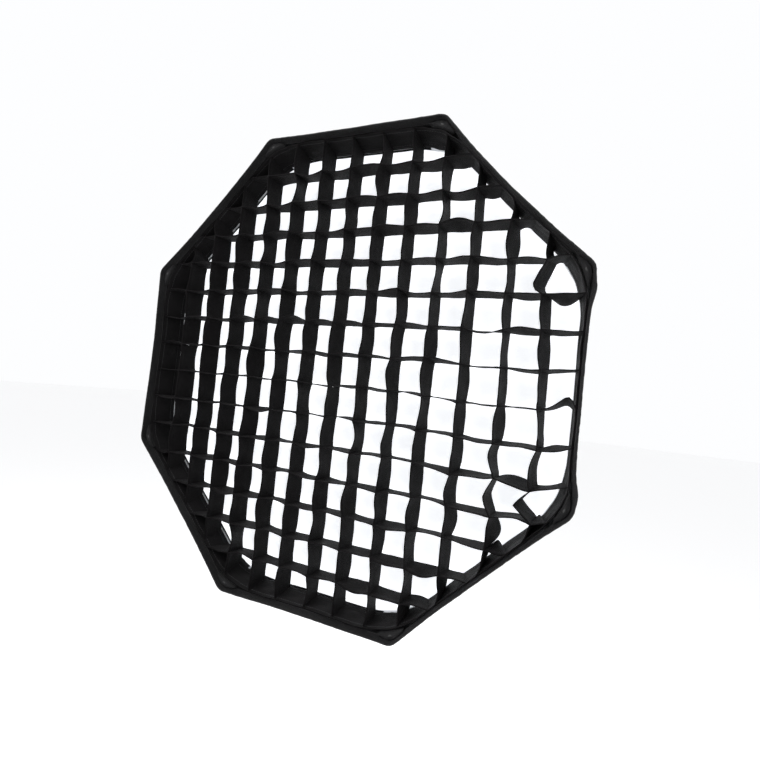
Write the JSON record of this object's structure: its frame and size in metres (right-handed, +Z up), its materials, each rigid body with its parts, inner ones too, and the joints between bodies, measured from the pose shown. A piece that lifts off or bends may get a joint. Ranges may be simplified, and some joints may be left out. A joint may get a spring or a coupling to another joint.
{
  "type": "octagonal softbox with fabric egg-crate grid",
  "caption": "Eight-sided studio softbox: rod-stretched fabric shell on a bayonet speedring, with baffle, front diffuser and a removable fabric egg-crate grid.",
  "frame": {"origin": "centre of the insert's bore, on the face that seats against the light", "axes": "+Y back along the optical axis towards the light, +Z up, the open front faces -Y"},
  "size_m": [0.7418, 0.3709, 0.7418],
  "materials": {
    "shell_cloth": "black woven polyester, silver-coated inside",
    "binding_tape": "black woven nylon tape, stitched",
    "hook_tape": "black nylon hook tape",
    "loop_tape": "black nylon loop tape",
    "grid_cloth": "matt black woven nylon, heat-cut edges",
    "border_cloth": "matt black woven nylon",
    "diffuser_cloth": "white translucent ripstop",
    "elastic_webbing": "ribbed black elastic",
    "spring_steel": "drawn spring steel wire",
    "rubber_cap": "matt",
    "ring_metal": "die-cast, fine-grained black coat",
    "socket_metal": "die-cast, tumbled",
    "screw_steel": "zinc plated",
    "insert_steel": "satin",
    "pad_nylon": "natural nylon",
    "knob_plastic": "fine-textured black nylon",
    "snap_metal": "nickel plated"
  },
  "bodies": {
    "light_insert": {"bayonet_insert": "insert_steel", "insert_retainer": "insert_steel", "retainer_screws": "screw_steel"},
    "softbox": {"speedring": "ring_metal", "rod_sockets": "socket_metal", "socket_screws": "screw_steel", "rod_1": "spring_steel", "rod_2": "spring_steel", "rod_3": "spring_steel", "rod_4": "spring_steel", "rod_5": "spring_steel", "rod_6": "spring_steel", "rod_7": "spring_steel", "rod_8": "spring_steel", "rod_tip_caps": "rubber_cap", "corner_pockets": "binding_tape", "side_panel_1": "shell_cloth", "side_panel_2": "shell_cloth", "side_panel_3": "shell_cloth", "side_panel_4": "shell_cloth", "side_panel_5": "shell_cloth", "side_panel_6": "shell_cloth", "side_panel_7": "shell_cloth", "side_panel_8": "shell_cloth", "rim_binding": "binding_tape", "rear_binding": "binding_tape", "grid_hook_tape": "hook_tape", "diffuser_hook_tape": "hook_tape", "inner_baffle": "diffuser_cloth", "baffle_straps": "elastic_webbing", "baffle_snaps": "snap_metal"},
    "lock_tip_1": {"lock_pad_1": "pad_nylon"},
    "lock_knob_1": {"lock_screw_1": "knob_plastic"},
    "lock_tip_2": {"lock_pad_2": "pad_nylon"},
    "lock_knob_2": {"lock_screw_2": "knob_plastic"},
    "diffuser": {"front_diffuser": "diffuser_cloth", "diffuser_border": "border_cloth", "diffuser_loop_tape": "loop_tape"},
    "grid": {"grid_border": "grid_cloth", "grid_loop_tape": "loop_tape", "grid_upright_strips_0": "grid_cloth", "grid_upright_strips_1": "grid_cloth", "grid_upright_strips_2": "grid_cloth", "grid_upright_strips_3": "grid_cloth", "grid_upright_strips_4": "grid_cloth", "grid_upright_strips_5": "grid_cloth", "grid_upright_strips_6": "grid_cloth", "grid_level_strips_0": "grid_cloth", "grid_level_strips_1": "grid_cloth", "grid_level_strips_2": "grid_cloth", "grid_level_strips_3": "grid_cloth", "grid_level_strips_4": "grid_cloth", "grid_level_strips_5": "grid_cloth", "grid_level_strips_6": "grid_cloth"}
  },
  "joints": [
    {"name": "box_turn", "type": "hinge", "parent": "light_insert", "child": "softbox", "pos_m": [0, -0.01, 0], "axis": [0, 1, 0], "continuous": true},
    {"name": "lock_1_travel", "type": "slide", "parent": "softbox", "child": "lock_tip_1", "axis": [1, 0, 0], "range_m": [-0.00025, 0.002]},
    {"name": "lock_1_turn", "type": "hinge", "parent": "lock_tip_1", "child": "lock_knob_1", "pos_m": [0.1, -0.0095, 0], "axis": [1, 0, 0], "range_deg": [-90.5, 720.5]},
    {"name": "lock_2_travel", "type": "slide", "parent": "softbox", "child": "lock_tip_2", "axis": [-1, 0, 0], "range_m": [-0.00025, 0.002]},
    {"name": "lock_2_turn", "type": "hinge", "parent": "lock_tip_2", "child": "lock_knob_2", "pos_m": [-0.1, -0.0095, 0], "axis": [-1, 0, 0], "range_deg": [-90.5, 720.5]},
    {"name": "diffuser_off", "type": "slide", "parent": "softbox", "child": "diffuser", "axis": [0, -1, 0], "range_m": [0, 0.12]},
    {"name": "grid_off", "type": "slide", "parent": "diffuser", "child": "grid", "axis": [0, -1, 0], "range_m": [0, 0.12]}
  ],
  "couplings": [
    {"joint": "lock_1_turn", "follows": "lock_1_travel", "rad_per_m": 6283.2},
    {"joint": "lock_2_turn", "follows": "lock_2_travel", "rad_per_m": 6283.2}
  ]
}
